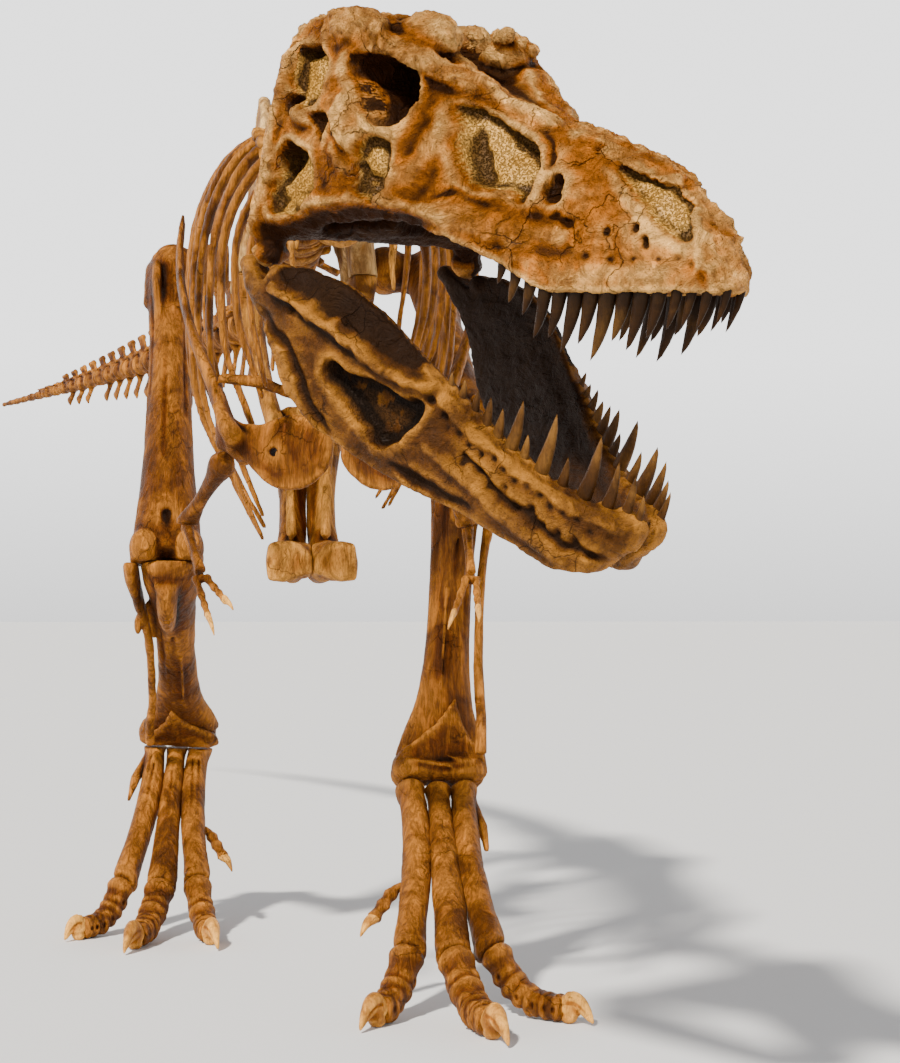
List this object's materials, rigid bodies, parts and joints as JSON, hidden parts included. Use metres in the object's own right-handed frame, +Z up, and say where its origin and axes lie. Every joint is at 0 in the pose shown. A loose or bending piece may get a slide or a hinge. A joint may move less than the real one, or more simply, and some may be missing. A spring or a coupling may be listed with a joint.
{
  "type": "mounted dinosaur skeleton",
  "caption": "Life-size mounted skeleton of a great bipedal meat-eating dinosaur in mid stride, head turned, jaws wide open, tiny arms and a long level tail; museum display or set piece.",
  "frame": {"origin": "on the floor, at the centre of the skeleton's footprint box", "axes": "+Z up; the animal walks toward -Y, its tail points to +Y and its own left side is +X"},
  "size_m": [2.5198, 9.7598, 3.1955],
  "materials": {
    "fossil_bone": "satin, grained and cracked red-brown fossil bone",
    "skull_bone": "satin, golden brown fossil bone with stippled cream plaster infill"
  },
  "bodies": {
    "root": {"astragalus_left": "fossil_bone", "astragalus_right": "fossil_bone", "femur_left": "fossil_bone", "femur_right": "fossil_bone", "fibula_left": "fossil_bone", "fibula_right": "fossil_bone", "hand_left": "fossil_bone", "hand_right": "fossil_bone", "humerus_left": "fossil_bone", "humerus_right": "fossil_bone", "ilium_left": "fossil_bone", "ilium_right": "fossil_bone", "ischium_left": "fossil_bone", "ischium_right": "fossil_bone", "mandible_left": "skull_bone", "mandible_right": "skull_bone", "metatarsal_fourth_left": "fossil_bone", "metatarsal_fourth_right": "fossil_bone", "metatarsal_second_left": "fossil_bone", "metatarsal_second_right": "fossil_bone", "metatarsal_third_left": "fossil_bone", "metatarsal_third_right": "fossil_bone", "neck_front": "fossil_bone", "neck_rear": "fossil_bone", "pubis_left": "fossil_bone", "pubis_right": "fossil_bone", "radius_left": "fossil_bone", "radius_right": "fossil_bone", "sacrum": "fossil_bone", "scapula_left": "fossil_bone", "scapula_right": "fossil_bone", "skull": "skull_bone", "tail_1": "fossil_bone", "tail_2": "fossil_bone", "tail_3": "fossil_bone", "tail_4": "fossil_bone", "tibia_left": "fossil_bone", "tibia_right": "fossil_bone", "toe_first_left": "fossil_bone", "toe_first_right": "fossil_bone", "toe_fourth_left": "fossil_bone", "toe_fourth_right": "fossil_bone", "toe_second_left": "fossil_bone", "toe_second_right": "fossil_bone", "toe_third_left": "fossil_bone", "toe_third_right": "fossil_bone", "trunk_left": "fossil_bone", "trunk_right": "fossil_bone", "ulna_left": "fossil_bone", "ulna_right": "fossil_bone"}
  },
  "joints": []
}
